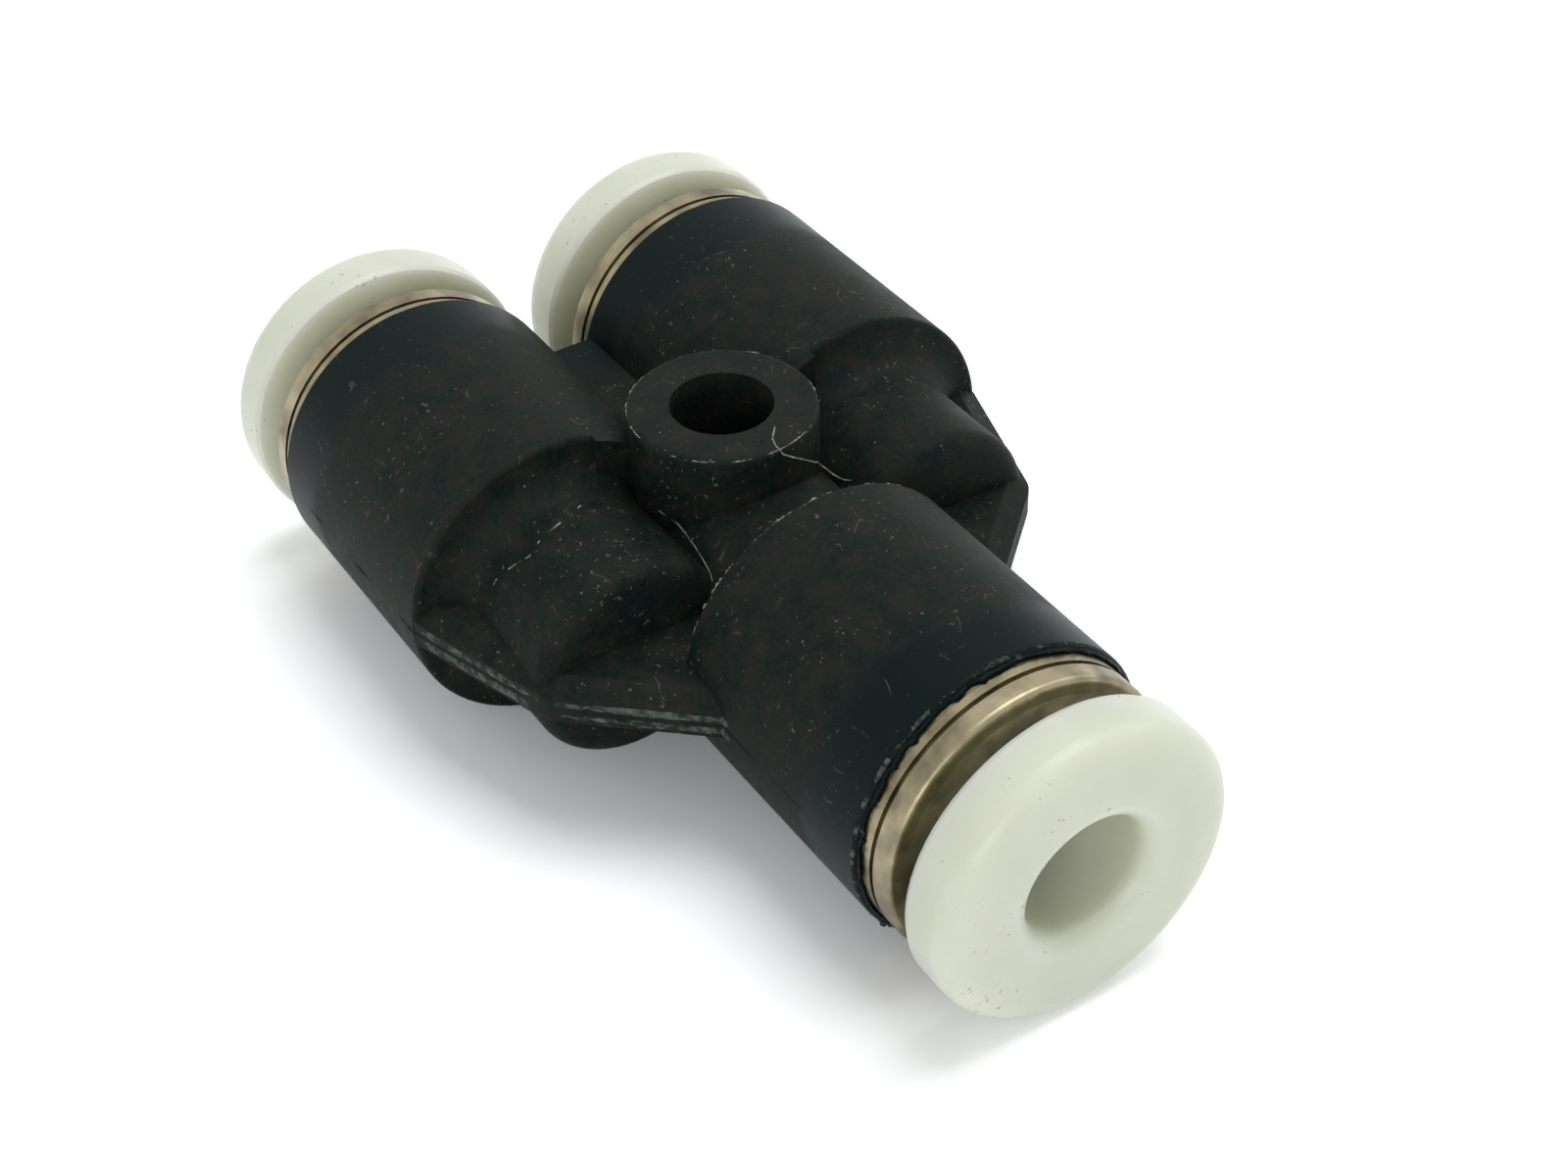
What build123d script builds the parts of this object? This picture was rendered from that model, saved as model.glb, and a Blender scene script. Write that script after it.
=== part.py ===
from build123d import *
import os

os.makedirs("parts", exist_ok=True)

# A three-way push-in tube fitting: one tube enters from -Y and two from +Y.
# Millimetres. The mounting hole's axis is Z through the origin, the part rests on z = 0,
# and all three port axes lie in the parting plane of the moulding.

# --- Driving dimensions -------------------------------------------------------------------

tube_diameter = 4.0
tube_seat_clearance = 0.05        # radial, tube in the seat bored in the body
button_bore_clearance = 0.10      # radial, tube in the release button
seal_lip_clearance = 0.06         # radial, lip as it stands round a tube
tooth_clearance = 0.07            # radial, gripping teeth as they stand round a tube

# Body moulding
socket_diameter = 10.4
twin_pitch = 11.64                # between the two twin port axes
twin_mouth_y = 10.8
twin_step_y = 1.15                # flat step where a twin socket ends
single_back_y = -5.73             # flat back of the single socket
single_mouth_y = -15.05
neck_diameter = 7.1
neck_end_y = -4.06                # flat half-moon ends of the two necks
neck_fillet = 1.2                 # concave, neck to step
neck_end_round = 0.55
front_neck_diameter = 7.1         # neck of the single socket, it runs in under the boss
socket_back_round = 0.18
mouth_round = 0.15
boss_diameter = 6.25
boss_round = 0.2
saddle_width = 8.3                # the sockets' round beside the boss, past the twin step
saddle_proud = 0.3
overlap = 0.35                    # how far one form runs into the next
mounting_hole_diameter = 3.4
web_thickness = 3.08              # flat web that ties the two twin sockets together
web_width = 3.0
web_setback = 0.35                # the web ends this far behind the mouths
flange_edge_thickness = 0.94
flange_thickness = 1.78
flange_bevel = 0.7                # how far the bevels reach in from the edge
flange_back_x = 10.97
flange_corner_x = 9.3
flange_corner_y = -4.3
flange_corner_round = 1.2
flange_front_y = -8.04            # where the flange runs out on the single socket

# Bores in the body
socket_bore_diameter = 8.6
socket_bore_chamfer = 0.2
tube_seat_length = 5.4
tube_seat_lead_in = 0.25
twin_passage_diameter = 2.6
single_passage_diameter = 2.5
cross_passage_width = 1.25
cross_passage_height = 2.4
cross_passage_wall = 0.6          # between the cross passage and the mounting hole
passage_overlap = 0.1

# Guide ring, heights from the socket's mouth
seat_gap = 0.02                   # between pieces that are pressed together
ring_diameter = 9.9
ring_stand_off = 1.36
ring_edge_round = 0.22
ring_land = 0.3                   # flat rim outside the dished end
ring_dish_depth = 0.3
ring_groove_height = 0.54
ring_groove_width = 0.17
ring_groove_depth = 0.18
ring_lip_length = 1.8
ring_wall = 0.98
ring_depth = 2.6
ring_running_clearance = 0.08     # radial, button sleeve in the ring
barb_height = 0.06
barb_length = 0.45
barb_count = 3

# Release button
button_diameter = 10.38
button_back_diameter = 10.18
button_back_edge = 0.18
button_thickness = 2.05
button_shoulder_round = 0.75
button_funnel_round = 0.68
button_travel = 1.0
travel_stop_gap = 0.06            # left between button and ring when pressed
button_sleeve_wall = 0.65
button_nose_depth = 1.9           # nose below the socket's mouth at rest
button_nose_flat = 0.3
button_nose_height = 0.45
catch_height = 0.35
catch_length = 0.3
catch_ramp = 0.25
catch_gap = 0.18                  # between the button's catch and the ring at rest

# Inner rings, stacked below the guide ring
chuck_thickness = 0.25
chuck_rim_width = 0.65
chuck_cone_height = 0.8
tooth_count = 10
tooth_gap = 0.45
collet_thickness = 1.0
collet_cone_gap = 0.12            # axial, teeth to the collet's cone
collet_land = 0.15
seal_thickness = 1.55
seal_lip_height = 0.55
seal_lip_land = 0.25
seal_base_clearance = 0.45        # radial, tube in the seal's base

# --- Derived sizes ------------------------------------------------------------------------

mid_z = socket_diameter / 2
twin_x = twin_pitch / 2
neck_r = neck_diameter / 2
socket_r = socket_diameter / 2
boss_r = boss_diameter / 2
neck_fillet_r = min(neck_fillet, 0.9 * (socket_r - neck_r - socket_back_round))
hole_r = mounting_hole_diameter / 2

tube_r = tube_diameter / 2
tube_seat_r = tube_r + tube_seat_clearance
socket_bore_r = socket_bore_diameter / 2
inner_ring_r = socket_bore_r - seat_gap
button_bore_r = tube_r + button_bore_clearance
button_sleeve_r = button_bore_r + button_sleeve_wall
ring_lip_r = button_sleeve_r + ring_running_clearance
seal_lip_r = tube_r + seal_lip_clearance
tooth_tip_r = tube_r + tooth_clearance

# Heights w run along a port: 0 is the socket's mouth and positive is outward.
button_back_w = ring_stand_off + travel_stop_gap + button_travel
button_face_w = button_back_w + button_thickness
ring_lip_top_w = ring_stand_off - ring_dish_depth
ring_lip_end_w = ring_lip_top_w - ring_lip_length
catch_top_w = ring_lip_end_w - catch_gap
chuck_top_w = -ring_depth - seat_gap
collet_top_w = chuck_top_w - chuck_thickness - seat_gap
seal_top_w = collet_top_w - collet_thickness - seat_gap
socket_floor_w = seal_top_w - seal_thickness - seat_gap
tube_stop_w = socket_floor_w - tube_seat_length

# The three ports: x of the axis, outward direction along Y, and y of the mouth.
ports = {
    "single": (0.0, -1, single_mouth_y),
    "twin_left": (-twin_x, 1, twin_mouth_y),
    "twin_right": (twin_x, 1, twin_mouth_y),
}


# --- Helpers ------------------------------------------------------------------------------

def rounded_face(points, rounds):
    """Polygon face with fillets given as (corner point, radius) pairs."""
    face = make_face(Polyline(*points, close=True))
    for corner, radius in rounds:
        nearest = face.vertices().sort_by_distance(Vector(*corner))[0]
        face = fillet(nearest, radius)
    return face


def turned(points, rounds=()):
    """Solid of revolution about local Y from profile corners given as (radius, w)."""
    return revolve(rounded_face(points, rounds), axis=Axis.Y)


def at_port(solid, port):
    """Place a solid drawn along local Y on a port's axis, with w = 0 at the mouth."""
    x, direction, mouth_y = ports[port]
    turn = 0 if direction > 0 else 180
    return Location((x, mouth_y, mid_z), (0, 0, turn)) * solid


def port_y(port, w):
    """World y of height w on a port."""
    x, direction, mouth_y = ports[port]
    return mouth_y + direction * w


def rod_y(x, radius, y_from, y_to):
    """Cylinder along Y in the parting plane."""
    place = Location((x, (y_from + y_to) / 2, mid_z), (90, 0, 0))
    return place * Cylinder(radius, abs(y_to - y_from))


def mirrored_outline(right_side):
    """Close an outline given by its right-hand points with their mirror images."""
    return list(right_side) + [(-x, y) for x, y in reversed(right_side)]


# --- Body ---------------------------------------------------------------------------------

def twin_stem(x):
    """One twin socket, its flat step, and the neck that ends in a rounded half-moon."""
    mouth = (socket_r, twin_mouth_y)
    step_edge = (socket_r, twin_step_y)
    neck_root = (neck_r, twin_step_y)
    neck_tip = (neck_r, neck_end_y)
    points = [(0, twin_mouth_y), mouth, step_edge, neck_root, neck_tip, (0, neck_end_y)]
    rounds = [
        (mouth, mouth_round),
        (step_edge, socket_back_round),
        (neck_root, neck_fillet_r),
        (neck_tip, neck_end_round),
    ]
    return Pos(x, 0, mid_z) * turned(points, rounds)


def single_socket():
    """The single socket, a plain barrel with a flat back."""
    mouth = (socket_r, single_mouth_y)
    back = (socket_r, single_back_y)
    points = [(0, single_mouth_y), mouth, back, (0, single_back_y)]
    barrel = turned(points, [(mouth, mouth_round), (back, socket_back_round)])
    return Pos(0, 0, mid_z) * barrel


def front_neck():
    """Round neck of the single socket, from the socket's back to the middle of the boss."""
    return rod_y(0, front_neck_diameter / 2, single_back_y - overlap, 0)


def boss():
    """Round boss as tall as the sockets."""
    column = Pos(0, 0, mid_z) * Cylinder(boss_r, socket_diameter)
    return fillet(column.edges().filter_by(GeomType.CIRCLE), boss_round)


def saddle():
    """The twin sockets' own round, run a little past their step on both sides of the boss."""
    y_low = twin_step_y - saddle_proud
    y_high = twin_step_y + overlap
    rounds = rod_y(-twin_x, socket_r, y_low, y_high) + rod_y(twin_x, socket_r, y_low, y_high)
    between = Pos(0, y_low, mid_z) * Box(saddle_width, 4 * overlap, socket_diameter)
    return rounds & between


def flange():
    """Parting-plane flange: a thin upright edge with bevels up and down to flat faces."""
    slope = (flange_front_y - flange_corner_y) / (flange_corner_x - socket_r)
    hidden_x = socket_r - 2 * flange_bevel
    right_side = [
        (flange_back_x, twin_step_y + 2 * flange_bevel),
        (flange_back_x, twin_step_y),
        (flange_corner_x, flange_corner_y),
        (hidden_x, flange_front_y + slope * (socket_r - hidden_x)),
    ]
    corners = [(side * flange_corner_x, flange_corner_y) for side in (1, -1)]
    rounds = [(corner, flange_corner_round) for corner in corners]
    outline = rounded_face(mirrored_outline(right_side), rounds)
    inner = offset(outline, -flange_bevel)
    edge_z = flange_edge_thickness / 2
    edge = extrude(outline, edge_z, both=True)
    bevel = loft([Pos(0, 0, edge_z) * outline, Pos(0, 0, flange_thickness / 2) * inner])
    return Pos(0, 0, mid_z) * (edge + bevel + mirror(bevel, Plane.XY))


def web():
    """Flat web between the two twin sockets, from the boss nearly to the mouths."""
    length = twin_mouth_y - web_setback
    return Pos(0, length / 2, mid_z) * Box(web_width, length, web_thickness)


def socket_cavity():
    """Bores of one port: the cartridge bore and the tube seat with its lead-in."""
    return turned([
        (0, 1),
        (socket_bore_r + socket_bore_chamfer + 1, 1),
        (socket_bore_r, -socket_bore_chamfer),
        (socket_bore_r, socket_floor_w),
        (tube_seat_r + tube_seat_lead_in, socket_floor_w),
        (tube_seat_r, socket_floor_w - tube_seat_lead_in),
        (tube_seat_r, tube_stop_w),
        (0, tube_stop_w),
    ])


def passages():
    """Passages that lead from the three tube stops past the mounting hole."""
    cross_y = -(hole_r + cross_passage_wall + cross_passage_width / 2)
    end_y = cross_y - cross_passage_width / 2
    cut = Pos(0, cross_y, mid_z) * Box(twin_pitch, cross_passage_width, cross_passage_height)
    for port, (x, direction, mouth_y) in ports.items():
        start_y = port_y(port, tube_stop_w + passage_overlap)
        if port == "single":
            cut += rod_y(x, single_passage_diameter / 2, start_y, cross_y)
        else:
            cut += rod_y(x, twin_passage_diameter / 2, start_y, end_y)
    return cut


def body():
    """One moulding: three sockets and necks, boss, saddle, flange and web, all bored."""
    solid = twin_stem(-twin_x) + twin_stem(twin_x) + single_socket()
    solid += front_neck() + boss() + saddle() + flange() + web()
    for port in ports:
        solid -= at_port(socket_cavity(), port)
    solid -= passages()
    solid -= Pos(0, 0, mid_z) * Cylinder(hole_r, 2 * socket_diameter)
    return solid


# --- Cartridge pieces ---------------------------------------------------------------------

def release_button():
    """Collar pressed to let a tube go: flat face, round shoulder, funnel, snap-in sleeve."""
    face_r = button_diameter / 2
    back_r = button_back_diameter / 2
    nose_w = -button_nose_depth
    shoulder = (face_r, button_face_w)
    funnel = (button_bore_r, button_face_w)
    catch_r = button_sleeve_r + catch_height
    points = [
        funnel,
        shoulder,
        (face_r, button_back_w + button_back_edge),
        (back_r, button_back_w),
        (button_sleeve_r, button_back_w),
        (button_sleeve_r, catch_top_w),
        (catch_r, catch_top_w),
        (catch_r, catch_top_w - catch_length),
        (button_sleeve_r, catch_top_w - catch_length - catch_ramp),
        (button_sleeve_r, nose_w + button_nose_height),
        (button_bore_r + button_nose_flat, nose_w),
        (button_bore_r, nose_w),
    ]
    return turned(points, [(shoulder, button_shoulder_round), (funnel, button_funnel_round)])


def guide_ring():
    """Plated ring pressed in the socket: grooved rim, dished end, guide lip, barbed sleeve."""
    ring_r = ring_diameter / 2
    sleeve_inner_r = inner_ring_r - ring_wall
    rim = (ring_r, ring_stand_off)
    low = ring_groove_height - ring_groove_width / 2
    high = ring_groove_height + ring_groove_width / 2
    points = [
        (ring_r, seat_gap),
        (ring_r, low),
        (ring_r - ring_groove_depth, low),
        (ring_r - ring_groove_depth, high),
        (ring_r, high),
        rim,
        (ring_r - ring_edge_round - ring_land, ring_stand_off),
        (ring_lip_r, ring_lip_top_w),
        (ring_lip_r, ring_lip_end_w),
        (sleeve_inner_r, ring_lip_end_w),
        (sleeve_inner_r, -ring_depth),
    ]
    for index in range(barb_count):
        barb_w = -ring_depth + index * barb_length
        points.append((inner_ring_r - barb_height, barb_w))
        points.append((inner_ring_r, barb_w + barb_length))
    points += [
        (inner_ring_r - barb_height, barb_w + barb_length),
        (inner_ring_r - barb_height, -socket_bore_chamfer),
        (inner_ring_r - barb_height, seat_gap),
    ]
    return turned(points, [(rim, ring_edge_round)])


def chuck():
    """Spring-steel ring with a cone of separate gripping teeth."""
    bend_r = inner_ring_r - chuck_rim_width
    tip_w = chuck_top_w - chuck_cone_height
    ring = turned([
        (inner_ring_r, chuck_top_w),
        (bend_r, chuck_top_w),
        (tooth_tip_r, tip_w),
        (tooth_tip_r, tip_w - chuck_thickness),
        (bend_r, chuck_top_w - chuck_thickness),
        (inner_ring_r, chuck_top_w - chuck_thickness),
    ])
    height = 3 * chuck_cone_height
    slot = Pos(bend_r / 2, chuck_top_w - height / 3, 0) * Box(bend_r, height, tooth_gap)
    for index in range(tooth_count):
        ring -= Rot(0, 360 / tooth_count * index, 0) * slot
    return ring


def collet():
    """Moulded ring under the chuck, coned so the teeth can flex, that backs the seal."""
    bend_r = inner_ring_r - chuck_rim_width
    slope = chuck_cone_height / (bend_r - tooth_tip_r)
    floor_w = collet_top_w - collet_thickness
    land_w = floor_w + collet_land
    land_r = bend_r - (collet_top_w - collet_cone_gap - land_w) / slope
    return turned([
        (inner_ring_r, collet_top_w),
        (bend_r, collet_top_w),
        (bend_r, collet_top_w - collet_cone_gap),
        (max(land_r, button_sleeve_r), land_w),
        (max(land_r, button_sleeve_r), floor_w),
        (inner_ring_r, floor_w),
    ])


def seal():
    """Rubber lip seal: a thick ring whose lip leans in towards the socket's floor."""
    base_r = tube_r + seal_base_clearance
    lip_w = seal_top_w - seal_lip_height
    floor_w = seal_top_w - seal_thickness
    return turned([
        (inner_ring_r, seal_top_w),
        (base_r + seal_lip_height, seal_top_w),
        (seal_lip_r, lip_w),
        (seal_lip_r, lip_w - seal_lip_land),
        (base_r, lip_w - seal_lip_land - seal_lip_height / 2),
        (base_r, floor_w),
        (inner_ring_r, floor_w),
    ])


# --- Build --------------------------------------------------------------------------------

export_step(body(), "parts/body.step")
cartridge = {
    "release_button": release_button(),
    "guide_ring": guide_ring(),
    "chuck": chuck(),
    "collet": collet(),
    "seal": seal(),
}
for piece, solid in cartridge.items():
    for port in ports:
        export_step(at_port(solid, port), f"parts/{piece}_{port}.step")
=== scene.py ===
import bmesh
import bpy
import numpy as np
from mathutils import Matrix, Vector


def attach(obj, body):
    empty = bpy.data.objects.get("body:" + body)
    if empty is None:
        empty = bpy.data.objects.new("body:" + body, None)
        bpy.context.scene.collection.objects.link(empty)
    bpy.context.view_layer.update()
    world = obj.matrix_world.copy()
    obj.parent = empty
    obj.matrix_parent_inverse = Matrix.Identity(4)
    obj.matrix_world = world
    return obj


# %% [markdown]
# # A push-in Y connector for small tubing
# The real object is a black moulded body with three sockets. Each socket holds a plated
# guide ring and an ivory release button, and hides a steel chuck, a collet and a rubber seal.
# The solids of all of these pieces come ready in their places, so this lesson spends its time
# on what a solid model leaves out: the finishes, the moulding flash, the dust, and the light.

# %% Load the solids and measure them
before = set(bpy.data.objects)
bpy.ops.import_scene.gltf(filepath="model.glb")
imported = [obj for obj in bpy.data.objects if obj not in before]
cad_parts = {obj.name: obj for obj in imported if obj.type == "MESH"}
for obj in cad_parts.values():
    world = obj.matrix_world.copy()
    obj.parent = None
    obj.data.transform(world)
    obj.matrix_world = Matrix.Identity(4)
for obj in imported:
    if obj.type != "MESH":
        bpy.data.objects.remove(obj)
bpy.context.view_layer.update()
MM = 0.001
PORTS = ("single", "twin_left", "twin_right")
print("nodes:", sorted(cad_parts))

# %% [markdown]
# ## The camera
# A lens is chosen by how far away it stood, because distance and not focal length sets how
# strongly near things grow. This one stood about 83 mm from the part, which is close, so the
# front button looks much larger than the back ones. The place and the aim are plain numbers,
# and the slight roll is a turn about the line of sight.

# %% Aim the camera
CAMERA_AT = Vector((-33.71, -57.43, 58.12)) * MM
CAMERA_AIM = Vector((-0.07, -3.55, 5.20)) * MM
CAMERA_ROLL = -0.029
SENSOR_WIDE = 36.0      # mm, as wide as film for a small camera
FOCAL_LENGTH = 58.67    # mm


def aim(place, target, roll=0.0):
    """Matrix that looks from place to target. Its Z axis is the unit vector from target to
    place, its X axis is world up crossed with that, and roll turns X and Y about Z."""
    back = (place - target).normalized()
    right = Vector((0, 0, 1)).cross(back).normalized()
    up = back.cross(right)
    turned_right = np.cos(roll) * right + np.sin(roll) * up
    turned_up = np.cos(roll) * up - np.sin(roll) * right
    matrix = Matrix((turned_right, turned_up, back)).transposed().to_4x4()
    matrix.translation = place
    return matrix


lens = bpy.data.cameras.new("camera")
lens.sensor_width = SENSOR_WIDE
lens.lens = FOCAL_LENGTH
lens.clip_start = 1 * MM
camera = bpy.data.objects.new("camera", lens)
camera.matrix_world = aim(CAMERA_AT, CAMERA_AIM, CAMERA_ROLL)
bpy.context.scene.collection.objects.link(camera)
bpy.context.scene.camera = camera
print("camera distance in mm:", round((CAMERA_AT - CAMERA_AIM).length / MM, 1))

# %% [markdown]
# ## Colours and nodes
# Colours are easiest to read as hex, as in a paint program, but a renderer adds up light, so
# each one is turned to linear values first. One helper adds any shader node with its settings
# and its links, which keeps the materials below as short as a recipe. The others set the two
# colours of a ramp, turn a size in millimetres into a texture scale, show a finished shader,
# and dress the solids in it.


# %% Helpers for materials
def linear(hex_colour):
    """sRGB hex to linear RGBA: below 0.04045 divide by 12.92, above it raise to 2.4."""
    srgb = np.array([int(hex_colour[i:i + 2], 16) for i in (1, 3, 5)]) / 255
    rgb = np.where(srgb <= 0.04045, srgb / 12.92, ((srgb + 0.055) / 1.055) ** 2.4)
    return (*rgb.tolist(), 1.0)


def put(owner, kind, inputs=(), **settings):
    """Add a node of a kind to a material or world, set its properties, and fill or link its
    inputs, which are given by name or number."""
    tree = owner.node_tree
    node = tree.nodes.new("ShaderNode" + kind)
    for name, value in settings.items():
        setattr(node, name, value)
    for name, value in dict(inputs).items():
        if isinstance(value, bpy.types.NodeSocket):
            tree.links.new(value, node.inputs[name])
        else:
            node.inputs[name].default_value = value
    return node


def start_material(name):
    """A new material with only an output node, and its Object coordinates in metres."""
    material = bpy.data.materials.new(name)
    material.use_nodes = True
    material.node_tree.nodes.clear()
    output = put(material, "OutputMaterial")
    place = put(material, "TexCoord").outputs["Object"]
    return material, output, place


def per_mm(size):
    """Texture scale that makes one cell of a pattern a size in millimetres."""
    return 1.0 / (size * MM)


def set_stops(ramp, *stops):
    """Set a colour ramp's stops in order, each a place from 0 to 1 and a hex colour."""
    for element, (position, hex_colour) in zip(ramp.color_ramp.elements, stops):
        element.position = position
        element.color = linear(hex_colour)


def show(owner, shader, output):
    """Link a shader to the surface of a material or world, and say how many nodes it took."""
    owner.node_tree.links.new(shader.outputs[0], output.inputs["Surface"])
    print(owner.name, "has", len(owner.node_tree.nodes), "nodes")


def dress(material, *nodes):
    """Give CAD nodes a material in every slot they have."""
    for name in nodes:
        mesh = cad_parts[name].data
        mesh.materials.clear()
        mesh.materials.append(material)


# %% [markdown]
# ## Black body: PBT, glass filled, moulded in a spark-eroded tool
# Spark erosion leaves tiny craters in the steel, and the plastic copies them as a fine matte
# grain. Near the mouths the tool is polished, so the last two millimetres of each socket are
# smoother. The part has been handled, so pale dust, lint and scuffs lie on it, thicker in
# places. The craters are far under 0.1 mm, too fine to show, so they are drawn 0.16 mm wide, as
# bump and as a slight mottling. Dust, lint and scuffs are colour cut from noises and cells of
# known size, and slow noises decide where they gather.

# %% Material for the moulded body
pbt, output, place = start_material("pbt_spark_eroded_black")
axis_place = put(pbt, "SeparateXYZ", {0: place})
slow = put(pbt, "TexNoise", {"Vector": place, "Scale": per_mm(3.2), "Detail": 4.0})
cloud = put(pbt, "TexNoise", {"Vector": place, "Scale": per_mm(0.9), "Detail": 6.0,
                              "Roughness": 0.65})
grain = put(pbt, "TexNoise", {"Vector": place, "Scale": per_mm(0.16), "Detail": 5.0,
                              "Roughness": 0.7})

# The polished band: one Map Range for the twin mouths and one for the single mouth, each from
# where the polish starts, along Y, to where it is full. A noise of 0 to 1 moves that place by
# its distance from one half times BAND_SWAY, so the band has an uneven edge.
BAND_SWAY = 3.6 * MM
TWIN_BAND = (7.9 * MM, 8.7 * MM)
SINGLE_BAND = (-12.3 * MM, -13.1 * MM)
shift = put(pbt, "Math", {0: slow.outputs["Fac"], 1: BAND_SWAY, 2: -BAND_SWAY / 2},
            operation="MULTIPLY_ADD")
uneven = put(pbt, "Math", {0: axis_place.outputs["Y"], 1: shift.outputs[0]}, operation="ADD")
band_twin = put(pbt, "MapRange", {"Value": uneven.outputs[0], "From Min": TWIN_BAND[0],
                                  "From Max": TWIN_BAND[1]})
band_single = put(pbt, "MapRange", {"Value": uneven.outputs[0], "From Min": SINGLE_BAND[0],
                                    "From Max": SINGLE_BAND[1]})
band = put(pbt, "Math", {0: band_twin.outputs[0], 1: band_single.outputs[0]},
           operation="MAXIMUM")

# Base colour: near black. A browner haze comes and goes over millimetres, and the grain
# mottles it with a slightly greener black.
tint = put(pbt, "ValToRGB", {"Fac": cloud.outputs["Fac"]})
set_stops(tint, (0.38, "#0E1816"), (0.70, "#2A2622"))
mottle = put(pbt, "MapRange", {"Value": grain.outputs["Fac"], "From Min": 0.42,
                               "From Max": 0.68, "To Max": 0.55})
mottled = put(pbt, "Mix", {"Factor": mottle.outputs[0], 6: tint.outputs["Color"],
                           7: linear("#202C2A")}, data_type="RGBA")
plain = put(pbt, "Mix", {"Factor": band.outputs[0], 6: mottled.outputs[2],
                         7: linear("#0E1A1A")}, data_type="RGBA")

# Dust: flakes are the peaks of a noise 0.2 mm wide, and a slow noise moves the height at which
# they are cut, so they gather in places. A few larger grains are cells 0.8 mm wide, each with
# one small spot at its middle, and the cell's own random colour drops most of them. The
# polished band holds less dust, and all of it lets some black through.
GRAIN_RADIUS = 0.055    # of a cell's width
GRAINS_DROPPED = 0.6    # of all cells
BAND_SHEDS = 0.7        # of the dust
DUST_COVER = 0.44       # of the black below it
flakes = put(pbt, "TexNoise", {"Vector": place, "Scale": per_mm(0.20), "Detail": 2.0,
                               "Roughness": 0.6})
gather = put(pbt, "MapRange", {"Value": slow.outputs["Fac"], "From Min": 0.35,
                               "From Max": 0.65, "To Min": 0.74, "To Max": 0.655})
over = put(pbt, "Math", {0: flakes.outputs["Fac"], 1: gather.outputs[0]},
           operation="SUBTRACT")
flake_mask = put(pbt, "MapRange", {"Value": over.outputs[0], "From Max": 0.02,
                                   "To Max": 0.75})
specks = put(pbt, "TexVoronoi", {"Vector": place, "Scale": per_mm(0.80)})
inside = put(pbt, "Math", {0: specks.outputs["Distance"], 1: GRAIN_RADIUS},
             operation="LESS_THAN")
pick = put(pbt, "SeparateColor", {0: specks.outputs["Color"]})
kept = put(pbt, "Math", {0: pick.outputs[0], 1: GRAINS_DROPPED}, operation="GREATER_THAN")
grains = put(pbt, "Math", {0: inside.outputs[0], 1: kept.outputs[0]}, operation="MULTIPLY")
dust = put(pbt, "Math", {0: flake_mask.outputs[0], 1: grains.outputs[0]},
           operation="MAXIMUM")
fewer = put(pbt, "Math", {0: band.outputs[0], 1: BAND_SHEDS}, operation="MULTIPLY")
bare = put(pbt, "Math", {0: 1.0, 1: fewer.outputs[0]}, operation="SUBTRACT")
dust = put(pbt, "Math", {0: dust.outputs[0], 1: bare.outputs[0]}, operation="MULTIPLY")
dust = put(pbt, "Math", {0: dust.outputs[0], 1: DUST_COVER}, operation="MULTIPLY")
dusty = put(pbt, "Mix", {"Factor": dust.outputs[0], 6: plain.outputs[2],
                         7: linear("#86847A")}, data_type="RGBA")

# Lint and scuffs: edges between bent, stretched cells 1.6 mm wide make thin curved lines, and
# a noise of 0.9 mm keeps only short pieces of them. SCUFF_WIDTH is a share of a cell.
SCUFF_WIDTH = 0.011
bend = put(pbt, "TexNoise", {"Vector": place, "Scale": per_mm(1.4), "Detail": 1.0})
bent = put(pbt, "VectorMath", {0: bend.outputs["Color"], 3: 0.7 * MM}, operation="SCALE")
bent = put(pbt, "VectorMath", {0: place, 1: bent.outputs[0]}, operation="ADD")
stretched = put(pbt, "Mapping", {"Vector": bent.outputs[0], "Scale": (1.0, 0.45, 1.0),
                                 "Rotation": (0.0, 0.0, 0.6)})
scuff = put(pbt, "TexVoronoi", {"Vector": stretched.outputs[0], "Scale": per_mm(1.6)},
            feature="DISTANCE_TO_EDGE")
scuff_line = put(pbt, "Math", {0: scuff.outputs["Distance"], 1: SCUFF_WIDTH},
                 operation="LESS_THAN")
scuff_where = put(pbt, "MapRange", {"Value": cloud.outputs["Fac"], "From Min": 0.56,
                                    "From Max": 0.66, "To Max": 0.30})
scuffs = put(pbt, "Math", {0: scuff_line.outputs[0], 1: scuff_where.outputs[0]},
             operation="MULTIPLY")
worn = put(pbt, "Mix", {"Factor": scuffs.outputs[0], 6: dusty.outputs[2],
                        7: linear("#6C716C")}, data_type="RGBA")

# Roughness: 0.46 to 0.62 on the grain, 0.38 in the polished band, where the grain is also
# shallower. Matte PBT with dust on it mirrors little, so its specular level is low.
rough_grain = put(pbt, "MapRange", {"Value": cloud.outputs["Fac"], "From Min": 0.3,
                                    "From Max": 0.7, "To Min": 0.46, "To Max": 0.62})
rough = put(pbt, "Mix", {"Factor": band.outputs[0], 2: rough_grain.outputs[0], 3: 0.38})
grain_depth = put(pbt, "Mix", {"Factor": band.outputs[0], 2: 0.42, 3: 0.10})
bump = put(pbt, "Bump", {"Height": grain.outputs["Fac"], "Strength": grain_depth.outputs[0],
                         "Distance": 0.02 * MM})
bump_dust = put(pbt, "Bump", {"Height": dust.outputs[0], "Strength": 0.5,
                              "Distance": 0.03 * MM, "Normal": bump.outputs[0]})
shader = put(pbt, "BsdfPrincipled", {"Base Color": worn.outputs[2],
                                     "Roughness": rough.outputs[0],
                                     "Normal": bump_dust.outputs[0]})
shader.inputs["IOR"].default_value = 1.5
shader.inputs["Specular IOR Level"].default_value = 0.06
show(pbt, shader, output)
dress(pbt, "body")

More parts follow.
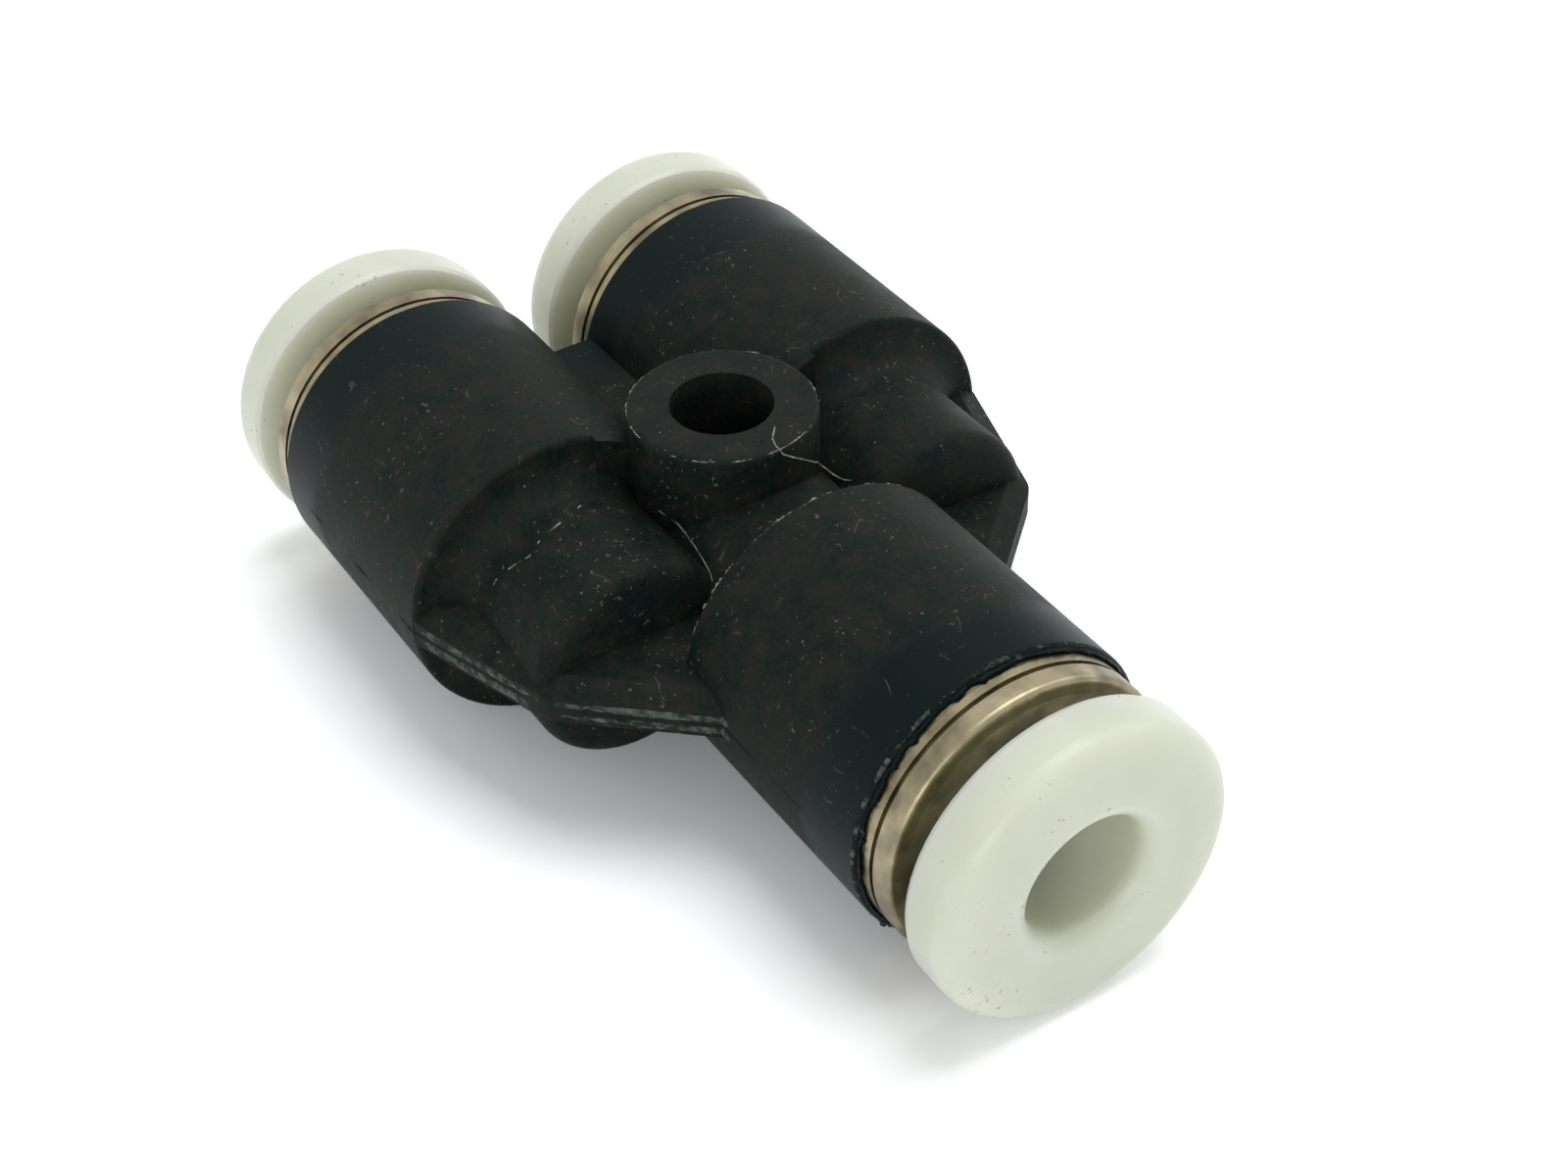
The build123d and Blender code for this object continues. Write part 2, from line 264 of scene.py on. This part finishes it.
# %% [markdown]
# ## Ivory release buttons: acetal (POM)
# Acetal is a white, waxy, slightly greenish plastic. Light goes a millimetre or two into it, so
# its shadows are soft and its edges glow a little. It is moulded smooth, and its face shows
# slight unevenness and a few dark pits of dirt. Subsurface scattering gives the waxy depth.

# %% Material for the buttons
ACETAL_IOR = 1.48
pom, output, place = start_material("pom_ivory_gloss")
haze = put(pom, "TexNoise", {"Vector": place, "Scale": per_mm(2.2), "Detail": 3.0})
tint = put(pom, "ValToRGB", {"Fac": haze.outputs["Fac"]})
set_stops(tint, (0.3, "#D6D9C6"), (0.7, "#DEE0D0"))
# Pits are the peaks of a noise 0.22 mm wide, cut lower where the haze is strong.
pits = put(pom, "TexNoise", {"Vector": place, "Scale": per_mm(0.22), "Detail": 2.0})
pit_depth = put(pom, "MapRange", {"Value": haze.outputs["Fac"], "From Min": 0.46,
                                  "From Max": 0.62, "To Min": 0.80, "To Max": 0.66})
over = put(pom, "Math", {0: pits.outputs["Fac"], 1: pit_depth.outputs[0]},
           operation="SUBTRACT")
pitted = put(pom, "MapRange", {"Value": over.outputs[0], "From Max": 0.03, "To Max": 0.55})
colour = put(pom, "Mix", {"Factor": pitted.outputs[0], 6: tint.outputs["Color"],
                          7: linear("#8D8B7C")}, data_type="RGBA")
# Roughness of a moulded gloss that handling has dulled, and ripples 0.7 mm wide as bump.
ripple = put(pom, "TexNoise", {"Vector": place, "Scale": per_mm(0.7), "Detail": 3.0})
rough = put(pom, "MapRange", {"Value": haze.outputs["Fac"], "From Min": 0.3,
                              "From Max": 0.7, "To Min": 0.30, "To Max": 0.37})
bump = put(pom, "Bump", {"Height": ripple.outputs["Fac"], "Strength": 0.25,
                         "Distance": 0.05 * MM})
shader = put(pom, "BsdfPrincipled", {"Base Color": colour.outputs[2],
                                     "Roughness": rough.outputs[0],
                                     "Normal": bump.outputs[0]})
shader.inputs["IOR"].default_value = ACETAL_IOR
shader.inputs["Subsurface Weight"].default_value = 0.8
shader.inputs["Subsurface Radius"].default_value = (1.0, 0.95, 0.8)
shader.inputs["Subsurface Scale"].default_value = 2.0 * MM
show(pom, shader, output)
dress(pom, *[f"release_button_{port}" for port in PORTS])

# %% [markdown]
# ## Guide rings: turned brass, nickel plated
# A lathe leaves fine circles round the axis, and nickel over brass keeps a warm champagne
# colour. The circles are a few hundredths of a millimetre apart, too fine to see one by one, so
# they are drawn 0.09 mm apart, as bands along the port axis that only tilt the surface a
# little. Tarnish, a noise 1.4 mm wide, dulls and darkens patches of it.

# %% Material for the guide rings
plate, output, place = start_material("brass_nickel_plated_turned")
along = put(plate, "SeparateXYZ", {0: place})
# A one-dimensional noise along Y gives rings round the port axis without any angle.
turning = put(plate, "TexNoise", {"W": along.outputs["Y"], "Scale": per_mm(0.09),
                                  "Detail": 2.0}, noise_dimensions="1D")
tarnish = put(plate, "TexNoise", {"Vector": place, "Scale": per_mm(1.4), "Detail": 5.0})
tint = put(plate, "ValToRGB", {"Fac": tarnish.outputs["Fac"]})
set_stops(tint, (0.35, "#6F6753"), (0.65, "#A2987D"))
rough = put(plate, "MapRange", {"Value": tarnish.outputs["Fac"], "From Min": 0.3,
                                "From Max": 0.7, "To Min": 0.42, "To Max": 0.29})
bump = put(plate, "Bump", {"Height": turning.outputs["Fac"], "Strength": 0.35,
                           "Distance": 0.012 * MM})
shader = put(plate, "BsdfPrincipled", {"Base Color": tint.outputs["Color"],
                                       "Roughness": rough.outputs[0],
                                       "Normal": bump.outputs[0]})
shader.inputs["Metallic"].default_value = 1.0
show(plate, shader, output)
dress(plate, *[f"guide_ring_{port}" for port in PORTS])

# %% [markdown]
# ## Hidden pieces: spring steel, acetal and nitrile rubber
# These three rings show only through the bore. Sheet steel is rolled, which leaves a faint
# grain along one direction, so its noise is stretched. The collet is the same acetal without
# the polish. The seal is dull black rubber with a slight bloom of wax on it.

# %% Material for the chucks
steel, output, place = start_material("stainless_spring_sheet")
rolled = put(steel, "Mapping", {"Vector": place, "Scale": (1.0, 1.0, 0.08)})
streaks = put(steel, "TexNoise", {"Vector": rolled.outputs[0], "Scale": per_mm(0.12),
                                  "Detail": 3.0})
rough = put(steel, "MapRange", {"Value": streaks.outputs["Fac"], "To Min": 0.30,
                                "To Max": 0.45})
tint = put(steel, "ValToRGB", {"Fac": streaks.outputs["Fac"]})
set_stops(tint, (0.0, "#B4B4B1"), (1.0, "#D0D0CE"))
shader = put(steel, "BsdfPrincipled", {"Base Color": tint.outputs["Color"],
                                       "Roughness": rough.outputs[0]})
shader.inputs["Metallic"].default_value = 1.0
show(steel, shader, output)
dress(steel, *[f"chuck_{port}" for port in PORTS])

# %% Material for the collets
raw_pom, output, place = start_material("pom_natural_matte")
clouds = put(raw_pom, "TexNoise", {"Vector": place, "Scale": per_mm(0.8), "Detail": 3.0})
tint = put(raw_pom, "ValToRGB", {"Fac": clouds.outputs["Fac"]})
set_stops(tint, (0.0, "#D9D8CA"), (1.0, "#E6E5DB"))
bump = put(raw_pom, "Bump", {"Height": clouds.outputs["Fac"], "Strength": 0.2,
                             "Distance": 0.03 * MM})
shader = put(raw_pom, "BsdfPrincipled", {"Base Color": tint.outputs["Color"],
                                         "Normal": bump.outputs[0]})
shader.inputs["Roughness"].default_value = 0.5
shader.inputs["IOR"].default_value = ACETAL_IOR
show(raw_pom, shader, output)
dress(raw_pom, *[f"collet_{port}" for port in PORTS])

# %% Material for the seals
rubber, output, place = start_material("nitrile_rubber_dull")
bloom = put(rubber, "TexNoise", {"Vector": place, "Scale": per_mm(0.5), "Detail": 5.0})
tint = put(rubber, "ValToRGB", {"Fac": bloom.outputs["Fac"]})
set_stops(tint, (0.0, "#0B0B0B"), (1.0, "#232322"))
bump = put(rubber, "Bump", {"Height": bloom.outputs["Fac"], "Strength": 0.3,
                            "Distance": 0.02 * MM})
shader = put(rubber, "BsdfPrincipled", {"Base Color": tint.outputs["Color"],
                                        "Normal": bump.outputs[0]})
shader.inputs["Roughness"].default_value = 0.7
show(rubber, shader, output)
dress(rubber, *[f"seal_{port}" for port in PORTS])

# %% [markdown]
# ## Moulding flash
# Where the two halves of a mould meet, a hair of plastic creeps out and stays as a ragged
# ridge. It could be bump, but a bump has no outline, and flash shows best against the light.
# So it is a real strip: a small ridge-shaped section carried along a path, with its height
# from smooth noise. One function builds the grid for any path. The section is sunk a little
# below the path, so that no slit shows between the ridge and the body.


# %% Random heights and even steps
def smooth_noise(count, spacing, seed, smallest=0.0):
    """Random heights from smallest to 1 at every spacing samples, eased between by cosines."""
    knots = np.random.default_rng(seed).uniform(smallest, 1.0, count // spacing + 3)
    where = np.arange(count) / spacing
    low = where.astype(int)
    blend = (1 - np.cos(np.pi * (where - low))) / 2
    return knots[low] * (1 - blend) + knots[low + 1] * blend


def resample(points, step):
    """Points evenly spaced along a polyline: interpolate each coordinate over its length."""
    points = np.asarray(points, dtype=float)
    lengths = np.linalg.norm(np.diff(points, axis=0), axis=1)
    travelled = np.concatenate([[0.0], np.cumsum(lengths)])
    at = np.linspace(0.0, travelled[-1], int(travelled[-1] / step) + 1)
    return np.stack([np.interp(at, travelled, points[:, k]) for k in range(3)], axis=1)


# %% A ragged ridge along a path
SECTION = 5                         # corners of the ridge's section
COARSE, FINE, LEANING = 9, 2, 5     # samples between the knots of each noise
RUN_OUT = 12                        # samples over which an end runs out
LEAST = 0.03                        # share of its height that is left in a gap


def ridge_mesh(name, path, outward, half_width, height, sunk, wander, seed, gap=0.0):
    """Ridge on a path. Its section is (-w, 0), (-w/2, H/2), (lean, H), (w/2, H/2), (w, 0), with
    the first number along the side vector and the second along outward, all of it lowered by
    sunk. H is height + sunk, times a smooth noise of which the part below gap is cut off, so
    with a gap the ridge breaks up into separate bits. It runs out to nothing at both ends."""
    count = len(path)
    outward = np.broadcast_to(np.asarray(outward, dtype=float), path.shape)
    forward = np.gradient(path, axis=0)
    forward /= np.linalg.norm(forward, axis=1, keepdims=True)
    side = np.cross(forward, outward)
    side /= np.linalg.norm(side, axis=1, keepdims=True)
    rough = smooth_noise(count, COARSE, seed, 0.25) * smooth_noise(count, FINE, seed + 1, 0.6)
    rough = np.clip((rough - gap) / (1 - gap), LEAST, 1)
    from_end = np.minimum(np.arange(count), np.arange(count)[::-1])
    fade = np.clip(from_end / RUN_OUT, 0.05, 1)
    h = (height + sunk) * rough * fade
    lean = wander * (smooth_noise(count, LEANING, seed + 2) - 0.5)
    flat = np.zeros(count)
    across = np.stack([flat - half_width, flat - half_width / 2, lean,
                       flat + half_width / 2, flat + half_width], axis=1)
    rise = np.stack([flat, h / 2, h, h / 2, flat], axis=1) - sunk
    grid = (path[:, None, :] + across[..., None] * side[:, None, :]
            + rise[..., None] * outward[:, None, :])
    rows = np.arange(count - 1)[:, None] * SECTION
    columns = np.arange(SECTION)[None, :]
    following = (columns + 1) % SECTION
    quads = np.stack([rows + columns, rows + following, rows + SECTION + following,
                      rows + SECTION + columns], axis=-1).reshape(-1, 4)
    caps = [list(range(SECTION))[::-1], list(range((count - 1) * SECTION, count * SECTION))]
    mesh = bpy.data.meshes.new(name)
    mesh.from_pydata((grid.reshape(-1, 3) * MM).tolist(), [], quads.tolist() + caps)
    mesh.polygons.foreach_set("use_smooth", np.ones(len(mesh.polygons), dtype=bool))
    piece = bpy.data.objects.new(name, mesh)
    bpy.context.scene.collection.objects.link(piece)
    return piece


def finish_piece(piece, body, material):
    """Turn the faces outwards, and give the piece its finish and the body that it rides on."""
    shape = bmesh.new()
    shape.from_mesh(piece.data)
    bmesh.ops.recalc_face_normals(shape, faces=shape.faces)
    shape.to_mesh(piece.data)
    shape.free()
    piece.data.materials.append(material)
    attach(piece, body)
    print(piece.name, len(piece.data.polygons), "faces")


# %% [markdown]
# Torn plastic turns pale, because the tear opens tiny cracks that scatter light. Dust and lint
# that catch on an edge are paler still. Both get a rough material of their own. The pale dust
# material also paints a highlight along the foot of the left neck.

# %% Material for torn edges
torn_pbt, output, place = start_material("pbt_torn_pale_edge")
cracks = put(torn_pbt, "TexNoise", {"Vector": place, "Scale": per_mm(0.30), "Detail": 4.0})
tint = put(torn_pbt, "ValToRGB", {"Fac": cracks.outputs["Fac"]})
set_stops(tint, (0.40, "#222826"), (0.66, "#60645F"))
bump = put(torn_pbt, "Bump", {"Height": cracks.outputs["Fac"], "Strength": 0.5,
                              "Distance": 0.03 * MM})
shader = put(torn_pbt, "BsdfPrincipled", {"Base Color": tint.outputs["Color"],
                                          "Normal": bump.outputs[0]})
shader.inputs["Roughness"].default_value = 0.75
shader.inputs["Specular IOR Level"].default_value = 0.15
show(torn_pbt, shader, output)

# %% Material for dust and lint, also used for a painted highlight
lint_and_painted_highlight, output, place = start_material("cotton_lint_dust_and_painted_highlight")
clumps = put(lint_and_painted_highlight, "TexNoise", {"Vector": place, "Scale": per_mm(0.25), "Detail": 3.0})
tint = put(lint_and_painted_highlight, "ValToRGB", {"Fac": clumps.outputs["Fac"]})
set_stops(tint, (0.35, "#5C5F59"), (0.65, "#A9A99F"))
shader = put(lint_and_painted_highlight, "BsdfPrincipled", {"Base Color": tint.outputs["Color"]})
shader.inputs["Roughness"].default_value = 0.9
shader.inputs["Specular IOR Level"].default_value = 0.1
show(lint_and_painted_highlight, shader, output)

# %% [markdown]
# The parting line runs round the body at half its height: down the side of a twin socket,
# round the flange and along the single socket. Its path is a list of corners in millimetres
# on the body's own outline, one side at a time. On the left flange the flash was torn off
# roughly, which left two pale ridges with a ragged dark line between them.

# %% The body's outline at half its height, in millimetres
MID_Z = 5.2
SIDE_PATH = [(11.02, 10.4), (11.02, 1.3), (10.97, 1.15), (9.55, -3.5), (9.36, -4.0),
             (9.0, -4.55), (8.55, -4.98), (5.22, -8.02), (5.2, -8.4), (5.2, -14.7)]


def side_path(sign, first, last, step, lift=0.0):
    """Points every step along the body's outline at mid height plus lift, from corner first up
    to corner last, on the left (-1) or right (+1). Outward is the way forward crossed with
    up, turned to point away from the body."""
    corners = [(sign * x, y, MID_Z + lift) for x, y in SIDE_PATH[first:last]]
    path = resample(corners, step)
    forward = np.gradient(path, axis=0)
    outward = np.cross(forward, [0.0, 0.0, 1.0]) * -sign
    return path, outward / np.linalg.norm(outward, axis=1, keepdims=True)


# %% Flash down both sides, and torn flash on the left flange
for name, sign, seed in (("parting_flash_left", -1, 11), ("parting_flash_right", 1, 23)):
    path, outward = side_path(sign, first=0, last=len(SIDE_PATH), step=0.12)
    ridge = ridge_mesh(name, path, outward, half_width=0.05, height=0.05, sunk=0.02,
                       wander=0.03, seed=seed)
    finish_piece(ridge, "fitting", pbt)

for name, lift, seed in (("torn_flash_upper", 0.24, 5), ("torn_flash_lower", -0.22, 8)):
    path, outward = side_path(-1, first=2, last=9, step=0.07, lift=lift)
    torn = ridge_mesh(name, path, outward, half_width=0.20, height=0.07, sunk=0.015,
                      wander=0.16, seed=seed)
    finish_piece(torn, "fitting", torn_pbt)

# %% [markdown]
# The mouth of the single socket has a ragged black frill, where plastic crept between the tool
# and its core pin, and pale fuzz in places on its outer edge. The same section goes round a
# circle. A circle's outward vector is mixed from its radius and the port's direction.


# %% Circles on the body, in millimetres
MOUTH = (0, -15.05, MID_Z)          # front mouth of the single socket
MOUTH_EDGE = (0, -14.96, MID_Z)     # its rounded outer edge
BACK_RIM = (0, -5.79, MID_Z)        # back rim of the single socket
BOSS_EDGE = (0, 0, 10.33)           # rounded edge of the boss
ALONG_PORT = np.array([0.0, -1.0, 0.0])
UPWARD = np.array([0.0, 0.0, 1.0])


def circle_path(radius, centre, axis, first, last, count, radial, forward):
    """Points centre + radius * (cos * X + sin * V) with V square to X and the axis, and the
    outward vector at each one: radial times the unit radius plus forward times the axis."""
    angle = np.linspace(first, last, count)[:, None]
    sideways = np.array([1.0, 0.0, 0.0])
    spoke = np.cos(angle) * sideways + np.sin(angle) * np.abs(np.cross(axis, sideways))
    path = radius * spoke + np.array(centre)
    return path, radial * spoke + forward * axis


# %% Frill and fuzz round the front mouth
path, outward = circle_path(radius=5.03, centre=MOUTH, axis=ALONG_PORT, first=0.35,
                            last=2 * np.pi + 0.2, count=640, radial=0.0, forward=1.0)
frill = ridge_mesh("mouth_frill", path, outward, half_width=0.08, height=0.24, sunk=0.03,
                   wander=0.10, seed=41)
finish_piece(frill, "fitting", pbt)
path, outward = circle_path(radius=5.15, centre=MOUTH_EDGE, axis=ALONG_PORT, first=0.9,
                            last=4.2, count=520, radial=0.8, forward=0.6)
fuzz = ridge_mesh("mouth_fuzz", path, outward, half_width=0.11, height=0.20, sunk=0.04,
                  wander=0.14, seed=57, gap=0.32)
finish_piece(fuzz, "fitting", torn_pbt)

# %% [markdown]
# Dust also collects where a sharp edge or a corner catches it: on the back rim of the single
# socket, on the boss's edge, and in the valley between the left neck and the boss. At the foot
# of the left neck, along the edge where its fillet ends, a pale broken strip of the same kind
# is a painted highlight of that edge. One thread of lint hangs over the edge of the boss. Each
# follows a circle or a few points on the body, and a gap breaks each line up into separate
# bits.

# %% Dust on the back rim and on the boss
path, outward = circle_path(radius=5.13, centre=BACK_RIM, axis=ALONG_PORT, first=0.25,
                            last=2.95, count=420, radial=0.7, forward=-0.7)
rim = ridge_mesh("rim_dust", path, outward, half_width=0.06, height=0.11, sunk=0.02,
                 wander=0.10, seed=71, gap=0.34)
finish_piece(rim, "fitting", lint_and_painted_highlight)
path, outward = circle_path(radius=3.06, centre=BOSS_EDGE, axis=UPWARD, first=0.0,
                            last=2 * np.pi, count=420, radial=0.7, forward=0.7)
edge = ridge_mesh("boss_edge_dust", path, outward, half_width=0.035, height=0.07, sunk=0.02,
                  wander=0.06, seed=113, gap=0.30)
finish_piece(edge, "fitting", lint_and_painted_highlight)

# %% Valley dust, a painted highlight at the neck's foot and a thread of lint, by points in millimetres
STRAND_STEP = 0.03      # mm between samples
VALLEY = [(-3.10, -0.39, 7.99), (-2.97, -0.96, 7.91), (-2.75, -1.48, 7.75),
          (-2.67, -1.94, 7.53), (-2.72, -2.48, 7.48), (-2.81, -3.21, 7.37),
          (-2.89, -3.75, 7.25), (-3.04, -4.20, 7.03)]
# The edge where the left neck's fillet ends: a pale strip along it is a painted highlight.
NECK_FOOT = [(-8.91, -0.31, 6.94), (-8.65, -0.30, 7.33), (-8.25, -0.54, 7.78),
             (-7.69, -0.87, 8.21), (-7.12, -0.64, 8.50), (-6.41, -0.53, 8.70),
             (-5.51, -0.18, 8.73), (-4.87, 0.14, 8.64)]
THREAD = [(0.81, -1.95, 10.40), (0.29, -2.54, 10.40), (0.18, -2.98, 10.41),
          (0.30, -3.14, 10.18), (0.72, -3.08, 9.84), (1.33, -2.87, 9.33), (2.11, -2.35, 8.58),
          (2.85, -2.05, 7.62), (3.07, -2.34, 7.46), (3.20, -2.66, 7.60)]
for name, points, outward, width, height, gap, seed in (
        ("valley_lint", VALLEY, (-0.6, -0.5, 0.6), 0.035, 0.08, 0.05, 83),
        # The neck's foot strip is a painted highlight, made in the pale dust material.
        ("neck_foot_painted_highlight", NECK_FOOT, (-0.4, -0.2, 0.9), 0.045, 0.08, 0.30, 91),
        ("boss_thread", THREAD, (0.1, -0.6, 0.8), 0.035, 0.08, 0.0, 97)):
    path = resample(points, STRAND_STEP)
    outward = np.array(outward) / np.linalg.norm(outward)
    strand = ridge_mesh(name, path, outward, half_width=width, height=height, sunk=0.02,
                        wander=width, seed=seed, gap=gap)
    finish_piece(strand, "fitting", lint_and_painted_highlight)

# %% [markdown]
# ## Floor and backdrop
# The part lies on bright white paper. What the camera and the reflections see of the paper is
# lighter than what lights the part: a second diffuse shader is added to it, so that the paper
# is white wherever the part shades it little, and further out an emission is added too, where
# the lamps fall off. That way only the shadow is darker than white, and the part gets no more
# light for it. The world is plain and dim as a light, and white as a background.


# %% Which rays see the brighter floor and world
def seen_ray(owner):
    """A factor that is 1 for camera, glossy and transmission rays: the largest of the three."""
    ray = put(owner, "LightPath")
    seen = put(owner, "Math", {0: ray.outputs["Is Camera Ray"],
                               1: ray.outputs["Is Glossy Ray"]}, operation="MAXIMUM")
    return put(owner, "Math", {0: seen.outputs[0], 1: ray.outputs["Is Transmission Ray"]},
               operation="MAXIMUM").outputs[0]


# %% Floor
FLOOR_HALF = 0.9                    # metres from the middle to a side
FLOOR_DROP = 0.00002                # metres below the part, so that the faces don't coincide
GLOW_FROM, GLOW_TO = 20 * MM, 150 * MM
GLOW_MOST = 0.5
paper, output, place = start_material("paper_white")
fibre = put(paper, "TexNoise", {"Vector": place, "Scale": per_mm(0.8), "Detail": 4.0})
tint = put(paper, "ValToRGB", {"Fac": fibre.outputs["Fac"]})
set_stops(tint, (0.0, "#F2F2F2"), (1.0, "#FAFAFA"))
diffuse = put(paper, "BsdfDiffuse", {"Color": tint.outputs["Color"]})
extra = put(paper, "BsdfDiffuse", {"Color": linear("#BEBEBE")})
brighter = put(paper, "AddShader", {0: diffuse.outputs[0], 1: extra.outputs[0]})
reach = put(paper, "VectorMath", {0: place}, operation="LENGTH")
lift = put(paper, "MapRange", {"Value": reach.outputs["Value"], "From Min": GLOW_FROM,
                               "From Max": GLOW_TO, "To Max": GLOW_MOST})
glow = put(paper, "Emission", {"Color": linear("#FFFFFF"), "Strength": lift.outputs[0]})
backdrop = put(paper, "AddShader", {0: brighter.outputs[0], 1: glow.outputs[0]})
shown = put(paper, "MixShader", {0: seen_ray(paper), 1: diffuse.outputs[0],
                                 2: backdrop.outputs[0]})
show(paper, shown, output)
floor_mesh = bpy.data.meshes.new("floor")
floor_mesh.from_pydata([(-FLOOR_HALF, -FLOOR_HALF, 0), (FLOOR_HALF, -FLOOR_HALF, 0),
                        (FLOOR_HALF, FLOOR_HALF, 0), (-FLOOR_HALF, FLOOR_HALF, 0)],
                       [], [(0, 1, 2, 3)])
floor_mesh.materials.append(paper)
floor = bpy.data.objects.new("floor", floor_mesh)
floor.location.z = -FLOOR_DROP
bpy.context.scene.collection.objects.link(floor)

# %% World
world = bpy.data.worlds.new("studio")
bpy.context.scene.world = world
world.use_nodes = True
world.node_tree.nodes.clear()
sky = put(world, "OutputWorld")
dim = put(world, "Background", {"Color": linear("#F6F9FC"), "Strength": 0.50})
white = put(world, "Background", {"Color": linear("#FFFFFF"), "Strength": 1.0})
shown = put(world, "MixShader", {0: seen_ray(world), 1: dim.outputs[0], 2: white.outputs[0]})
show(world, shown, sky)

# %% [markdown]
# ## Lamps
# The main lamp is broad, so its shadows are soft, and it hangs high above, a little to the
# right. It is kept off the line on which the black sockets would mirror it, so they stay dark
# and show their grain. Two weaker lamps, one on the right and one at the front left, open the
# sides. Each is a square area lamp, turned towards the middle of the part.


# %% Lamps, with places and sizes in millimetres
def softbox(name, place, size, watts):
    """A square area lamp at a place, aimed at the middle of the part."""
    light = bpy.data.lights.new(name, "AREA")
    light.shape = "SQUARE"
    light.size = size * MM
    light.energy = watts
    lamp = bpy.data.objects.new(name, light)
    lamp.matrix_world = aim(Vector(place) * MM, Vector((0, 0, 5)) * MM)
    bpy.context.scene.collection.objects.link(lamp)


softbox("softbox_top", (90, 20, 380), size=260, watts=0.68)
softbox("softbox_right", (300, 20, 170), size=180, watts=0.11)
softbox("softbox_left", (-230, -240, 125), size=160, watts=0.26)
bpy.context.scene.view_settings.view_transform = "Standard"
